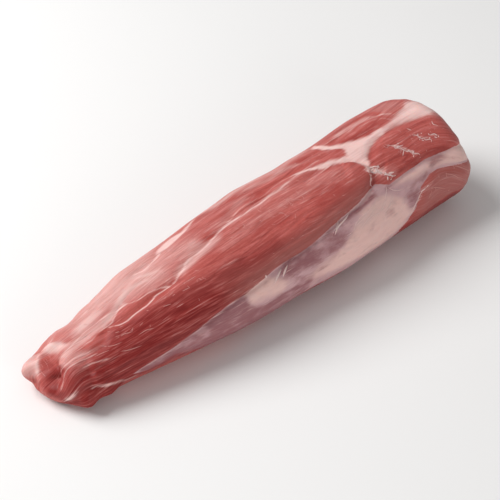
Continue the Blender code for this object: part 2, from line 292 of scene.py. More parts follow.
# What is painted on the plain muscle, from the first kind laid down to the last
PAINT = {
    # Painted shade, partly the muscle's own deeper red: darker, redder muscle along the lower side, around
    # the tail pit and on the tail's lobe
    "shade": (
        Patch(((20, 40), (40, 42), (54, 46), (70, 50), (90, 50), (106, 46), (112, 22), (100, 16), (83, 4),
               (66, -8), (53, -14), (43, -18), (30, -6), (22, 10)), 9.0, 0.85),
        Patch(((104, 40), (86, 44), (66, 46), (52, 44), (42, 40), (34, 34), (32, 20), (36, 6), (44, -6),
               (56, -4), (70, 8), (86, 18), (104, 26)), 4.0, 0.85),
        Patch(((116, 62), (96, 62), (76, 66), (58, 64), (44, 60), (36, 50), (36, 40), (60, 44), (90, 42),
               (120, 44)), 4.0, 0.45),
        Patch(((8, 76), (17, 64), (30, 62), (46, 70), (66, 68), (90, 64), (112, 60), (140, 58), (140, 20),
               (60, -20), (14, -20), (6, 10), (4, 50)), 5.0, 0.5),
        Streak(((5, 50), (4, 18), (8, 5), (12, -1), (15, -12), (16, -40), (16, -80)), 3.0, 0.85),
        Streak(((14, 190), (12, 230), (14, 270), (18, 310)), 6.0, 0.5),
        Patch(((105, 50), (125, 52), (140, 52), (165, 58), (187, 62), (203, 66), (208, 50), (189, 38),
               (172, 34), (156, 28), (135, 26), (110, 20)), 6.5, 0.48),
        Patch(((104, 28), (104, 50), (128, 54), (150, 52), (150, 30)), 10.0, 0.15),
        Patch(((17, -12), (17, 1), (19, 12), (22, 13), (27, 10), (32, 4), (37, -4), (42, -13), (40, -40),
               (26, -50), (20, -40)), 1.2, 1.0),
        Patch(((19, -12), (20, 4), (23, 10), (29, 4), (35, -6), (38, -18), (34, -36),
               (22, -30)), 1.6, 0.95),
        Patch(((19, 18), (22, 34), (27, 34), (35, 29), (40, 24), (33, 12), (25, 14)), 3.0, 0.6),
        Patch(((46, 75), (52, 67), (58, 66), (66, 62), (64, 54), (49, 55), (42, 62)), 2.5, 0.55),
        # Painted shade down in the tail hollow
        Patch(((13, 109), (10, 104), (6, 92), (6, 60), (9, 56), (14, 66), (16, 86),
               (16, 104)), 1.4, 0.45),
        Streak(((15, 12), (17, 20), (19, 29), (24, 31), (29, 27), (36, 27), (44, 30)), 1.5, 0.9),
        Streak(((16, 26), (18, 34), (22, 40), (27, 40), (34, 38)), 1.0, 0.6),
        Streak(((16, 11), (19, 21), (24, 23), (32, 21), (40, 20)), 1.0, 0.8),
        Streak(((35, 44), (42, 40), (50, 34), (60, 33)), 1.0, 0.7),
        # Painted shade down in the tail pit
        Patch(((19, 70), (18, 57), (13, 52), (9, 48), (7, 22), (4, 20), (6, 40), (10, 74),
               (17, 78)), 1.4, 0.75),
        Patch(((250, 215), (200, 208), (150, 214), (90, 212), (60, 224), (60, 300),
               (250, 300)), 9.0, 0.7),
        Patch(((206, 166), (170, 170), (130, 164), (96, 168), (80, 176), (110, 186), (160, 184),
               (204, 180)), 6.0, 0.5),
        Patch(((225, 62), (245, 60), (266, 58), (285, 56), (288, 40), (262, 41), (240, 44), (222, 44),
               (210, 46)), 5.0, 0.22),
        Patch(((208, -40), (214, -18), (222, -8), (234, -8), (248, -14), (264, -12), (278, -24),
               (278, -44), (262, -56), (240, -60), (208, -60)), 6.0, 0.85),
    ),
    # Dull, brownish muscle above the silverskin and on the lower lobe of the head
    "dull": (
        Patch(LOWER_HEAD_LOBE, 8.0, 0.65),
        Streak(((206, 56), (199, 51), (189, 47), (172, 43), (156, 37), (140, 35), (119, 32),
                (104, 28)), 6.0, 0.6),
        Patch(((204, 64), (188, 56), (168, 52), (148, 50), (126, 50), (112, 48), (104, 42), (106, 26),
               (120, 28), (150, 32), (176, 42), (200, 52)), 12.0, 0.42),
        Patch(((116, 66), (116, 42), (100, 38), (80, 42), (64, 46), (64, 58), (84, 64)), 8.0, 0.28),
        Patch(((107, 36), (96, 36), (84, 33), (73, 33), (66, 30), (57, 24), (53, 4), (53, -1), (66, 4),
               (83, 14), (100, 24), (112, 26)), 3.0, 0.15),
    ),
    # Pale film over the muscle, and painted highlights on the top of the main muscle and on its nose at the
    # tail
    "haze_and_highlight": (
        Patch(((108, 92), (92, 84), (84, 78), (72, 80), (60, 87), (50, 90), (37, 92), (26, 86),
               (18, 86), (20, 104), (24, 118), (34, 132), (52, 140), (74, 142), (86, 136), (98, 122),
               (110, 106)), 8.0, 0.35),
        Patch(((84, 80), (72, 82), (60, 88), (48, 92), (36, 96), (34, 120), (50, 130), (70, 126),
               (84, 112)), 7.0, 0.3),
        Patch(((150, 104), (122, 96), (105, 92), (60, 96), (44, 110), (60, 150), (100, 158), (140, 150),
               (160, 128)), 9.0, 0.2),
        Patch(((214, 150), (190, 144), (168, 150), (150, 166), (162, 184), (196, 188), (226, 178),
               (232, 160)), 9.0, 0.3),
        Patch(((110, 186), (80, 178), (56, 186), (44, 204), (70, 218), (104, 214), (124, 200)), 8.0, 0.3),
        Patch(((284, 150), (270, 140), (256, 150), (250, 176), (262, 200), (280, 196)), 7.0, 0.3),
        # Painted highlight along the top of the main muscle
        Patch(((204, 72), (196, 84), (176, 94), (150, 92), (122, 88), (108, 80), (112, 68), (140, 70),
               (170, 70), (194, 68)), 6.0, 0.3),
        Patch(((104, 150), (90, 128), (60, 126), (40, 130), (30, 150), (40, 170), (90, 166)), 6.0, 0.3),
        Patch(((243, 121), (254, 126), (259, 117), (258, 103), (253, 97), (245, 101)), 3.0, 0.25),
        Patch(((54, 88), (46, 91), (38, 91), (32, 92), (26, 88), (21, 84), (22, 78), (29, 76), (37, 77),
               (44, 79), (51, 82)), 1.6, 0.55),
        Patch(((50, 101), (46, 97), (42, 94), (36, 94), (32, 97), (36, 104), (42, 108),
               (48, 107)), 2.6, 0.6),
        Patch(((46, 104), (43, 100), (39, 98), (36, 99), (38, 104), (42, 107)), 1.8, 0.6),
        Patch(((27, 92), (22, 92), (19, 101), (19, 110), (22, 112), (26, 104)), 1.6, 0.75),
        Patch(((120, 90), (111, 91), (104, 90), (98, 88), (92, 86), (87, 80), (91, 76), (97, 78),
               (104, 80), (110, 82), (116, 84)), 2.4, 0.6),
        Patch(((107, 104), (110, 95), (112, 90), (102, 89), (96, 93)), 3.0, 0.25),
        Patch(((20, 86), (26, 80), (34, 66), (40, 62), (30, 58), (24, 56), (19, 60),
               (17, 74)), 2.0, 0.45),
        Patch(((26, 122), (16, 124), (9, 124), (4, 150), (5, 176), (12, 178), (22, 150)), 3.0, 0.55),
        Patch(((36, 126), (20, 124), (8, 140), (6, 190), (14, 214), (30, 190), (40, 150)), 6.0, 0.3),
        Patch(((200, 127), (206, 108), (214, 98), (246, 97), (262, 106), (262, 128), (240, 126),
               (224, 124)), 3.0, 0.1),
        Patch(((12, 118), (8, 116), (4, 104), (3, 130), (6, 150), (12, 140)), 1.6, 0.4),
        Patch(LOWER_HEAD_LOBE, 8.0, 0.2),
        Patch(((208, 60), (206, 50), (212, 44), (222, 46), (222, 56), (214, 60)), 2.5, 0.25),
        # Painted highlight on the nose of the main muscle at the tail
        Streak(((34, 52), (27, 50), (21, 44), (18, 34)), 2.6, 0.25),
        Streak(((219, 112), (227, 115), (235, 113), (242, 108), (245, 101)), 1.2, 0.5),
        Streak(((213, 123), (224, 122), (232, 119), (240, 116)), 1.2, 0.5),
        Streak(((205, 133), (194, 132), (185, 129), (176, 127), (167, 129), (157, 134), (151, 133),
                (139, 134), (126, 138)), 3.0, 0.5),
        Streak(((187, 109), (182, 114), (176, 118), (169, 118), (165, 118), (158, 121),
                (148, 122)), 2.4, 0.5),
        Streak(((205, 84), (193, 91), (176, 99), (161, 96), (147, 94), (137, 94), (122, 94)), 2.4, 0.3),
        Streak(((150, 112), (140, 108), (130, 102), (118, 98)), 3.0, 0.25),
        Streak(((84, 95), (77, 101), (73, 108)), 0.9, 0.6),
        Streak(((46, 84), (52, 88), (57, 92), (62, 97), (68, 101)), 1.5, 0.65),
        Streak(((78, 93), (69, 98), (63, 98), (59, 93), (60, 87)), 1.0, 0.6),
    ),
    # The whole silverskin, then where it is thick and creamy, thin over dark muscle, or lets red through
    "silverskin": (
        Patch(MAIN_MUSCLE_LOWER_EDGE + (
            (212, 42), (226, 43), (240, 43), (254, 40), (266, 39), (276, 38), (283, 33), (289, 24),
            (282, 22), (274, 18), (266, 17), (254, 23), (244, 28), (238, 28), (230, 21), (227, 12),
            (224, 0), (217, -12), (208, -34), (200, -60), (170, -62), (130, -50), (100, -30), (80, -24),
            (66, -16), (56, -14), (50, -11), (44, -9)), 0.8, 1.0),
    ),
    "cream": (
        Patch(((120, 32), (124, 29), (127, 24), (131, 17), (134, 10), (131, 5), (126, 5), (120, 7),
               (114, 8), (110, 12), (110, 22), (108, 27), (114, 30)), 3.4, 0.95),
        Patch(((187, 35), (191, 36), (196, 37), (201, 37), (205, 37), (210, 32), (215, 24), (218, 14),
               (219, 6), (223, -1), (219, -6), (214, -15), (209, -20), (200, -22), (188, -19),
               (180, -14), (173, -12), (165, -11), (156, -7), (149, -3), (145, 0), (152, 7), (158, 11),
               (164, 11), (170, 14), (173, 19), (178, 24), (181, 28)), 3.2, 0.95),
        Patch(((250, 39), (262, 39), (284, 37), (290, 28), (284, 19), (268, 18), (255, 25), (246, 30),
               (236, 33), (222, 34), (214, 37), (218, 41), (232, 41)), 2.6, 0.9),
        Patch(((172, 44), (186, 46), (200, 50), (200, 44), (190, 41), (178, 40), (170, 38)), 3.0, 0.45),
        Streak(((76, 12), (83, 8), (88, 4), (92, 0)), 2.6, 0.35),
    ),
    "dark film": (
        Patch(((133, 28), (138, 31), (144, 31), (151, 31), (157, 22), (155, 16), (147, 14), (141, 15),
               (134, 18), (131, 24)), 3.5, 0.95),
        Patch(((163, 24), (168, 31), (173, 30), (176, 23), (170, 17), (164, 15), (161, 18),
               (158, 21)), 3.5, 0.8),
        Patch(((85, 16), (92, 20), (108, 25), (109, 14), (114, 6), (124, -2), (136, -2), (142, 6),
               (150, -2), (146, -30), (110, -34), (88, -30), (84, -16), (87, -4), (88, 6)), 3.0, 0.7),
        Patch(((86, 20), (94, 21), (103, 22), (109, 22), (110, 18), (108, 14), (103, 12), (98, 11),
               (92, 11), (88, 13)), 1.6, 0.7),
        Patch(((92, 4), (98, 7), (105, 6), (112, 4), (116, 0), (124, -1), (134, -1), (140, -1), (130, -7),
               (120, -10), (109, -10), (104, -6), (97, -3)), 1.8, 0.9),
        Patch(((52, -4), (64, 0), (69, 3), (73, 3), (74, -2), (72, -12), (66, -20), (56, -20),
               (48, -14)), 1.8, 0.95),
        Patch(((73, 12), (84, 15), (94, 22), (108, 26), (110, 14), (104, -30), (86, -30),
               (70, -12)), 4.0, 0.6),
        Patch(((74, -16), (89, -14), (94, -14), (101, -19), (112, -18), (122, -17), (122, -60),
               (72, -50)), 2.4, 0.85),
        Patch(((221, 22), (230, 24), (237, 31), (242, 33), (236, 27), (230, 18), (226, 6), (222, 0),
               (219, 8)), 4.0, 0.6),
        Patch(((244, 45), (250, 42), (254, 36), (248, 32), (241, 33), (239, 38)), 2.6, 0.5),
        Patch(((200, 46), (208, 41), (217, 38), (226, 37), (224, 31), (216, 28), (211, 35), (203, 39),
               (196, 41)), 2.0, 0.35),
        Patch(((146, 2), (150, 10), (158, 13), (166, 11), (164, 3), (154, -3)), 3.0, 0.45),
        Patch(((68, -1), (78, -1), (86, -5), (92, -14), (80, -26), (66, -16)), 2.4, 0.7),
        Streak(((200, 42), (193, 40), (187, 39), (183, 39), (177, 38)), 1.0, 0.8),
        Streak(((210, 12), (204, 20), (198, 26)), 3.0, 0.3),
        Patch(((145, 14), (156, 12), (166, 15), (172, 22), (178, 30), (186, 38), (170, 40), (156, 34),
               (140, 32), (134, 24), (138, 14)), 3.0, 0.3),
    ),
    "red film": (
        Patch(((50, -15), (60, -8), (68, -7), (74, -10), (82, -18), (92, -30), (104, -38), (118, -37),
               (132, -33), (134, -90), (50, -70)), 2.4, 0.65),
        Patch(((104, -90), (122, -44), (134, -30), (147, -24), (159, -22), (169, -23), (182, -28),
               (196, -28), (208, -34), (210, -90)), 3.0, 0.85),
    ),
    # Seam fat and tendon
    "fat": (
        Patch(((205, 62), (209, 66), (212, 75), (218, 82), (225, 85), (232, 87), (234, 93), (226, 94),
               (218, 98), (211, 104), (207, 110), (205, 119), (204, 133), (200, 128), (201, 115),
               (205, 104), (207, 94), (204, 88), (200, 89), (195, 92), (189, 95), (184, 96), (184, 94),
               (189, 91), (196, 87), (202, 80), (204, 71)), 1.6, 0.85),
        Patch(((230, 87), (241, 87), (249, 84), (257, 82), (263, 80), (268, 86), (267, 98), (264, 105),
               (259, 104), (255, 99), (249, 97), (242, 94), (235, 93), (228, 94)), 2.0, 0.72),
        Patch(((254, 84), (264, 78), (276, 76), (284, 84), (282, 100), (272, 110), (260, 106),
               (252, 96)), 5.0, 0.6),
        Patch(((124, 138), (117, 134), (111, 131), (105, 132), (99, 129), (94, 125), (91, 120),
               (98, 119), (104, 121), (111, 126), (118, 132)), 1.2, 0.85),
        Streak(((206, 64), (209, 60), (212, 57), (215, 58)), 1.5, 0.9),
        Streak(((211, 56), (214, 51), (219, 48)), 1.2, 0.55),
        Streak(((28, 92), (24, 99), (21, 107), (18, 113), (15, 117)), 2.0, 0.7),
        Streak(((15, 117), (11, 117), (7, 112), (4, 100)), 1.2, 0.7),
        Streak(((14, 124), (10, 126), (7, 124)), 1.4, 0.4),
        Streak(((14, -18), (15, -6), (17, 5), (19, 13)), 1.1, 0.8),
        Streak(((26, 13), (30, 9), (34, 1), (39, -8), (45, -16), (50, -14)), 0.8, 0.45),
        Streak(((228, 72), (231, 66), (234, 59), (237, 51)), 0.8, 0.5),
        Streak(((244, 68), (246, 63), (250, 57)), 0.7, 0.35),
        Streak(((250, 61), (255, 57)), 0.7, 0.3),
    ),
    # Fine pale seam lines
    "line": (
        Streak(((38, 158), (70, 152), (120, 158), (170, 148), (215, 152), (256, 147)), 0.9, 0.55),
        Streak(((215, 152), (236, 160), (258, 164)), 0.8, 0.45),
        Streak(((60, 194), (100, 188), (132, 192)), 0.8, 0.5),
        Streak(((170, 194), (215, 184), (262, 190)), 0.8, 0.5),
        Streak(((150, 172), (176, 176), (200, 170)), 0.7, 0.4),
        Streak(((193, 90), (186, 94), (181, 98), (176, 99), (169, 98), (161, 96), (154, 96), (147, 94),
                (142, 95), (137, 94), (131, 95), (122, 94), (112, 90), (107, 88), (100, 87), (96, 86),
                (93, 82), (88, 78), (85, 75), (82, 74)), 0.75, 0.8),
        Streak(((193, 103), (188, 103), (182, 101), (176, 102), (169, 104), (162, 104), (158, 102),
                (155, 100), (151, 100), (145, 101), (140, 101), (136, 101), (130, 98),
                (122, 94)), 0.7, 0.6),
        Streak(((82, 74), (77, 78), (72, 80), (68, 80), (63, 83), (60, 87), (55, 88), (51, 90), (46, 91),
                (42, 91), (37, 92), (33, 90), (27, 85), (20, 82)), 0.5, 0.65),
        Streak(((82, 74), (78, 74), (73, 74), (71, 72), (67, 70), (64, 70), (59, 70), (55, 69), (51, 71),
                (49, 74), (46, 77)), 0.45, 0.85),
        Streak(((61, 84), (59, 86), (56, 87), (53, 84), (49, 79), (45, 79), (41, 78), (37, 75), (33, 75),
                (28, 73)), 0.6, 0.6),
        Streak(((94, 120), (90, 116), (85, 113), (80, 110), (76, 114), (74, 115)), 0.8, 0.8),
        Streak(((49, 122), (45, 120), (40, 119), (36, 117)), 0.8, 0.5),
        Streak(((200, 127), (202, 119), (206, 119), (211, 120), (218, 120), (225, 119), (231, 117),
                (238, 115), (242, 109), (248, 98)), 0.8, 0.55),
        Streak(((244, 94), (240, 102), (233, 107), (225, 111), (220, 117)), 0.6, 0.4),
        Streak(((193, 88), (188, 92), (183, 96), (177, 100), (173, 103)), 0.9, 0.7),
        Streak(((192, 89), (179, 86), (164, 80)), 0.6, 0.4),
        Streak(((203, 66), (205, 60), (203, 55), (201, 51)), 0.7, 0.9),
        Streak(((24, 11), (28, 9), (31, 3), (36, -4), (43, -8), (50, -6)), 0.6, 0.55),
        Streak(((43, -8), (56, -2), (61, 1), (66, 5), (73, 11), (83, 15), (94, 20), (105, 25), (119, 28)),
               0.7, 0.4),
        Streak(((90, 8), (98, 9), (103, 9), (108, 8), (113, 7)), 0.9, 0.35),
        Streak(((230, 15), (226, 8), (222, 2), (221, -6)), 0.8, 0.7),
        Streak(((12, 14), (15, 40), (19, 56), (24, 58), (29, 57), (36, 55)), 0.6, 0.5),
        Streak(((10, 8), (11, 37), (17, 62), (22, 65), (27, 66), (34, 62)), 0.8, 0.5),
        Streak(((25, 47), (29, 47), (32, 45), (38, 41)), 0.5, 0.5),
    ),
}

# Threads that lie on the meat, as a width in millimetres and the routes. Each is a prism with a few
# sides and rings, so that it keeps few faces. Its ends have a share of its width, and a lower power
# widens it sooner. Its thickness is a share of its width, and it is sunk by a share of half its width.
Threads = namedtuple("Threads", "width routes")
THREAD_SIDES = 5
THREAD_RINGS = 9
THREAD_WIDTH_AT_ENDS = 0.15
THREAD_WIDENING = 0.6
THREAD_THICKNESS = 0.35
THREAD_SUNK = 0.1

# Tags and branching strands of fat and silverskin
FAT_THREADS = {
    "tags on silverskin": Threads(1.1, (
        ((133, 28), (129, 23), (126, 18)), ((137, 28), (134, 24), (132, 20)), ((123, 34), (124, 28)),
        ((181, 41), (176, 38), (171, 35), (167, 30)), ((173, 40), (170, 35), (169, 32)))),
    "fat at end of main muscle": Threads(0.8, (
        ((205, 64), (207, 63), (210, 62)), ((206, 66), (210, 64), (213, 61)),
        ((206, 61), (210, 58), (212, 54)), ((204, 62), (203, 57), (202, 53), (202, 49)),
        ((212, 55), (214, 50), (217, 46)), ((215, 51), (218, 49)), ((213, 49), (212, 46)))),
    "vein between head lobes": Threads(0.7, (
        ((238, 20), (232, 17), (229, 16), (225, 7), (222, 0), (220, -5)),)),
    "marks on upper head lobe": Threads(0.45, (
        ((226, 74), (229, 69), (230, 65), (233, 60)), ((231, 66), (232, 60), (235, 56), (235, 52)),
        ((234, 57), (235, 53), (238, 50), (237, 46)), ((232, 61), (229, 57)), ((230, 67), (234, 65)),
        ((243, 69), (245, 65), (245, 62), (248, 59)), ((247, 61), (247, 58), (250, 56), (249, 53)),
        ((251, 60), (254, 59), (255, 56)), ((259, 72), (258, 68), (260, 65)), ((244, 77), (245, 73)))),
    "strands of silverskin": Threads(0.4, (
        ((200, 38), (193, 33), (187, 32), (182, 30), (178, 24), (173, 23)),
        ((210, 42), (207, 36), (205, 32)), ((211, 41), (212, 36), (215, 32), (219, 30)),
        ((202, 32), (193, 28), (188, 25), (181, 21)), ((207, 32), (199, 25), (193, 25), (186, 22)),
        ((190, 30), (184, 28), (180, 27)), ((212, 26), (206, 24), (200, 20)),
        ((177, 38), (173, 37), (169, 35), (166, 31)))),
}

# Thin strands of torn film
FILM_THREADS = {
    "veins on lower head lobe": Threads(0.3, (
        ((232, 17), (240, 11), (247, 2)), ((247, 20), (252, 14), (256, 7)), ((236, 12), (233, 4)),
        ((262, 10), (268, 4)))),
    "hairs in tail hollow": Threads(0.16, (
        ((14, 102), (13, 94), (12, 84)), ((10, 98), (9, 86), (9, 75)), ((17, 101), (17, 96), (15, 89)),
        ((12, 101), (11, 92)), ((15, 100), (14, 92)))),
    "strokes on tail": Threads(0.32, (
        ((47, 65), (49, 63)), ((48, 57), (50, 57), (54, 53)), ((65, 65), (66, 64)),
        ((38, 63), (42, 53), (47, 50)), ((44, 41), (48, 37), (54, 33)), ((55, 46), (59, 46), (63, 43)),
        ((94, 67), (89, 67)), ((77, 49), (81, 49)), ((105, 105), (104, 100), (103, 95)),
        ((100, 101), (100, 96)), ((94, 103), (92, 98)), ((33, 53), (40, 50)), ((25, 47), (32, 45)),
        ((26, 57), (33, 56)), ((72, 58), (76, 56)), ((84, 61), (88, 60)))),
}

# A tuft is a crowd of short, curled threads. Its spread and its threads' length are in millimetres.
# A thread takes a few steps, which are one share of the length drawn between two limits, and after
# each it turns by about the bend, in radians.
Tuft = namedtuple("Tuft", "reach around spread count length")
TUFT_STEPS = 3
TUFT_STEP_SHARES = (0.2, 0.5)
TUFT_BEND = 0.8
TUFT_SEED = 11

# The thinnest and widest threads of a tuft, in millimetres, and the tufts
FAT_TUFT_WIDTHS = (0.3, 0.6)
FILM_TUFT_WIDTHS = (0.14, 0.26)
FAT_TUFTS = (
    Tuft(208, 62, 1.0, 12, 1.8), Tuft(211, 58, 1.2, 8, 1.8), Tuft(215, 50, 1.1, 8, 1.5),
    Tuft(203, 55, 0.6, 4, 1.4), Tuft(231, 66, 1.0, 7, 1.3), Tuft(235, 55, 1.0, 8, 1.2),
    Tuft(246, 62, 1.2, 7, 1.2), Tuft(253, 58, 1.4, 6, 1.1))
FILM_TUFTS = (
    Tuft(226, 73, 0.9, 8, 1.6), Tuft(230, 62, 0.8, 6, 1.4), Tuft(243, 66, 1.6, 9, 1.4),
    Tuft(257, 65, 1.8, 7, 1.3), Tuft(147, 82, 3.0, 12, 2.6), Tuft(157, 77, 2.6, 12, 2.4),
    Tuft(166, 82, 5.0, 8, 2.2), Tuft(130, 85, 4.0, 8, 2.2), Tuft(176, 66, 5.0, 5, 1.8),
    Tuft(150, 52, 8.0, 5, 1.8), Tuft(103, 98, 4.0, 10, 2.6), Tuft(93, 80, 3.0, 8, 2.2),
    Tuft(76, 88, 5.0, 8, 2.0), Tuft(52, 62, 5.0, 8, 2.2), Tuft(88, 62, 8.0, 8, 2.0),
    Tuft(40, 92, 4.0, 10, 2.2), Tuft(190, 112, 6.0, 8, 2.2), Tuft(222, 116, 6.0, 8, 2.2),
    Tuft(140, 118, 9.0, 9, 2.4), Tuft(245, 18, 6.0, 7, 2.0), Tuft(250, 62, 9.0, 8, 1.6),
    Tuft(120, 160, 20.0, 8, 2.4), Tuft(200, 165, 20.0, 8, 2.4))

# A pattern drawn out along the fibres, with its length and width in millimetres. Real fibres are
# finer than 0.1 mm, too fine to show, so they are drawn 0.6 mm wide.
Pattern = namedtuple("Pattern", "length width detail seed")
BUNDLES = Pattern(36.0, 2.6, 3.0, 1.0)
FIBRES = Pattern(10.0, 0.6, 2.0, 2.0)
BLOTCHES = Pattern(26.0, 11.0, 2.0, 3.0)
CREASES = Pattern(60.0, 3.8, 0.0, 4.0)
CLOUDS = Pattern(9.0, 4.0, 3.0, 5.0)

# Size of the waves in which the fibres wander, how far they wander along and across, and the size
# of the dark specks, in millimetres
WAVE_SIZE = 40.0
WANDER = (6.0, 4.0, 4.0)
SPECK_SIZE = 1.1

# The point that the camera and the lights look at, and how far the floor goes each way, in metres
TARGET = (0.0, 0.0026, 0.019)
FLOOR_REACH = 3.0

# A soft light's place as two angles in degrees and a distance, with its size, in metres
Lamp = namedtuple("Lamp", "name azimuth elevation distance size")
KEY_LIGHT = Lamp("key_light", -140.0, 45.0, 1.2, 0.9)
FILL_LIGHT = Lamp("fill_light", -15.0, 12.0, 1.4, 0.8)


def smooth_step(value, low, high):
    """Rise from 0 at low to 1 at high with a soft start and end."""
    share = np.clip((value - low) / (high - low), 0.0, 1.0)
    return share * share * (3.0 - 2.0 * share)


def smooth_curve(keys, values, at):
    """A smooth curve through the values at the keys, read at other places."""
    keys = np.asarray(keys, float)
    values = np.asarray(values, float)
    gaps = np.diff(keys)
    slopes = np.diff(values) / gaps
    tangents = np.concatenate([
        slopes[:1],
        (slopes[:-1] * gaps[1:] + slopes[1:] * gaps[:-1]) / (gaps[:-1] + gaps[1:]),
        slopes[-1:],
    ])
    at = np.clip(at, keys[0], keys[-1])
    index = np.clip(np.searchsorted(keys, at) - 1, 0, len(gaps) - 1)
    gap = gaps[index]
    t = (at - keys[index]) / gap
    from_start = (2 * t**3 - 3 * t**2 + 1) * values[index] + (t**3 - 2 * t**2 + t) * gap * tangents[index]
    from_end = (3 * t**2 - 2 * t**3) * values[index + 1] + (t**3 - t**2) * gap * tangents[index + 1]
    return from_start + from_end


def end_rounding(along):
    """Share of the full section that is left near the two rounded ends."""
    tail = 1.0 - np.clip(along / TAIL_ROUNDING, 0.0, 1.0)
    head = 1.0 - np.clip((LENGTH - along) / HEAD_ROUNDING, 0.0, 1.0)
    tail_share = (1.0 - tail**TAIL_SQUARENESS) ** (1.0 / TAIL_SQUARENESS)
    head_share = (1.0 - head**HEAD_SQUARENESS) ** (1.0 / HEAD_SQUARENESS)
    return tail_share * head_share


def section(along):
    """Half width, half height and sideways middle of the full section at a place along."""
    keys, half_widths, middles = zip(*STATIONS)
    half_width = smooth_curve(keys, half_widths, along)
    middle = smooth_curve(keys, middles, along)
    ratio = np.interp(along, (0.0, LENGTH), (HEIGHT_TO_WIDTH_AT_TAIL, HEIGHT_TO_WIDTH_AT_HEAD))
    return half_width, half_width * ratio, middle


def meridian():
    """Matching lists of reach and place along, from the tip of the tail to the head's pole."""
    turn = 1.0 - np.cos(np.linspace(0.0, np.pi / 2, STEPS_AT_AN_END))
    straight = np.linspace(TAIL_ROUNDING, LENGTH - HEAD_ROUNDING, STEPS_BETWEEN_ENDS)[1:-1]
    along = np.concatenate([TAIL_ROUNDING * turn, straight, LENGTH - HEAD_ROUNDING * turn[::-1]])
    half_width, half_height, _ = section(along)
    radius = end_rounding(along) * 0.5 * (half_width + half_height)
    steps = np.hypot(np.diff(along), np.diff(radius))
    return np.concatenate([[0.0], np.cumsum(steps)]), along


REACHES, ALONGS = meridian()


def rest_on_floor(height):
    """Flatten what would lie below the floor, with a soft turn into the flat."""
    blend = (height + FLOOR_BLEND) ** 2 / (4.0 * FLOOR_BLEND)
    return np.where(height > FLOOR_BLEND, height, np.where(height > -FLOOR_BLEND, blend, 0.0))


def plain_form(reach, around):
    """Points of the plain form, in millimetres, for places on the skin."""
    along = np.interp(reach, REACHES, ALONGS)
    angle = np.radians(around)
    half_width, half_height, middle = section(along)
    rounding = end_rounding(along)
    across = middle - half_width * rounding * np.cos(angle)
    height = half_height - SAG + half_height * rounding * np.sin(angle)
    return np.stack([along, across, rest_on_floor(height)], axis=-1)


def in_frame(points):
    """Points of the plain form moved to where the meat lies, still in millimetres."""
    low, high = np.array(SOLID_BOX)[:, :2] / MM
    return points + [*(0.5 * (low + high) - PLAN_MIDDLE), 0.0]


def smooth_route(route):
    """Close places, as reach and around, on a smooth curve through a route's places."""
    reach, around = np.array(route, float).T
    keys = np.arange(len(reach))
    fine = np.linspace(0.0, keys[-1], STEPS_BETWEEN_PLACES * keys[-1] + 1)
    return smooth_curve(keys, reach, fine), smooth_curve(keys, around, fine)


def nearest_on_line(points, normals, line, margin):
    """Distance of each point from a line, its side of it, and how far from an end it is.

    Points farther than the margin from the line are left at an endless distance."""
    nearest = np.full(len(points), np.inf)
    side = np.ones(len(points))
    place = np.zeros(len(points))
    lengths = np.linalg.norm(np.diff(line, axis=0), axis=1)
    starts = np.cumsum(lengths) - lengths
    low = line.min(axis=0) - margin
    high = line.max(axis=0) + margin
    about = np.flatnonzero(np.all((points > low) & (points < high), axis=1))
    for start, end, length, before in zip(line[:-1], line[1:], lengths, starts):
        if length == 0.0:
            continue
        middle = 0.5 * (start + end)
        near = about[np.all(np.abs(points[about] - middle) < margin + 0.5 * length, axis=1)]
        run = (end - start) / length
        share = np.clip((points[near] - start) @ run, 0.0, length)
        offset = points[near] - start - share[:, None] * run
        distance = np.linalg.norm(offset, axis=1)
        closer = distance < nearest[near]
        chosen = near[closer]
        nearest[chosen] = distance[closer]
        side[chosen] = np.sign(np.einsum("ij,ij->i", np.cross(normals[chosen], run), offset[closer]))
        place[chosen] = before + share[closer]
    return nearest, side, np.minimum(place, lengths.sum() - place)


def seam_relief(seams, points, normals):
    """Height that seams together add to the skin at each point.

    Where grooves meet, the cube root of their summed cubes is taken, so that their depths don't add up."""
    groove_powers = np.zeros(len(points))
    relief = np.zeros(len(points))
    for seam in seams.values():
        line = plain_form(*smooth_route(seam.route))
        margin = FADED_AT * max(seam.width, seam.run if seam.step else 0.0)
        distance, side, from_end = nearest_on_line(points, normals, line, margin)
        strength = smooth_step(from_end, 0.0, seam.taper)
        groove = strength * np.exp(-((distance / seam.width) ** 2))
        if seam.depth > 0.0:
            groove_powers += (seam.depth * groove) ** 3
        else:
            relief -= seam.depth * groove
        if seam.step:
            known = np.minimum(distance, margin)
            rise = smooth_step(side * known, STEP_RISES[0] * seam.width, STEP_RISES[1] * seam.width)
            proud = rise if seam.step > 0.0 else 1.0 - rise
            relief += abs(seam.step) * strength * proud * np.exp(-((distance / seam.run) ** 2))
    return relief - np.cbrt(groove_powers)


def swelling_relief(swellings, points):
    """Height that swellings and hollows together add at each point."""
    relief = np.zeros(len(points))
    for swelling in swellings.values():
        centre = plain_form(swelling.reach, swelling.around)
        distance = np.linalg.norm(points - centre, axis=1)
        relief += swelling.height * np.exp(-((distance / swelling.radius) ** 2))
    return relief


def bend_fibres(distance, angle, meet, turn):
    """Distance and angle about an end's pole, moved so that lines along the meat meet elsewhere."""
    meet_distance, meet_around = meet
    meet_angle = math.radians(meet_around)
    place = meet_distance * np.array([math.cos(meet_angle), math.sin(meet_angle)])
    pull = 1.0 - smooth_step(distance, *turn)
    flat = distance[:, None] * np.stack([np.cos(angle), np.sin(angle)], axis=1) - pull[:, None] * place
    return np.linalg.norm(flat, axis=1), np.arctan2(flat[:, 1], flat[:, 0])


def fibre_places(reach, around):
    """Coordinates in millimetres that follow the fibres: along them first, then across."""
    along, angle = bend_fibres(reach, np.radians(around), TAIL_FIBRES_MEET, TAIL_FIBRES_TURN)
    rest, angle = bend_fibres(REACHES[-1] - along, angle, HEAD_FIBRES_MEET, HEAD_FIBRES_TURN)
    return np.stack([REACHES[-1] - rest, MEAN_RADIUS * np.cos(angle), MEAN_RADIUS * np.sin(angle)], axis=1)


